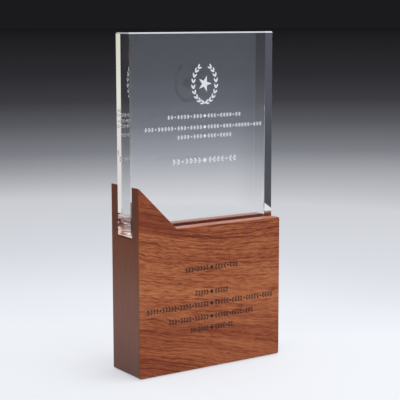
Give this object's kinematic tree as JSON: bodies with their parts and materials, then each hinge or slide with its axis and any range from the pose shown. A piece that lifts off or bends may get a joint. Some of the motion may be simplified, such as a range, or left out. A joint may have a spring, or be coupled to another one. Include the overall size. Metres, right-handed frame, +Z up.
{
  "type": "wood base crystal award",
  "caption": "Free-standing award: an upright laminated wood base with a slot and a raised sloping shoulder at one end, holding a clear bevelled crystal slab.",
  "frame": {"origin": "centre of the wood base's footprint, on the surface that the award stands on", "axes": "+Z up; +X along the front face from the raised left end to the right end; -Y is the front, +Y the back"},
  "size_m": [0.1274, 0.038, 0.2505],
  "materials": {
    "front_wood": "red-brown hardwood, grain along the length, satin lacquer",
    "back_wood": "red-brown hardwood, grain along the length, satin lacquer",
    "core_wood": "red-brown hardwood, dark end grain, satin lacquer",
    "dowel_wood": "plain pale hardwood",
    "clear_adhesive": "cured clear adhesive",
    "crystal": "polished clear optical crystal, bevelled edges",
    "felt": "black pressed felt"
  },
  "bodies": {
    "root": {"front_cheek": "front_wood", "back_cheek": "back_wood", "core_block": "core_wood", "dowel_pins": "dowel_wood", "bonding_bed": "clear_adhesive", "crystal_slab": "crystal", "base_pad": "felt"}
  },
  "joints": []
}
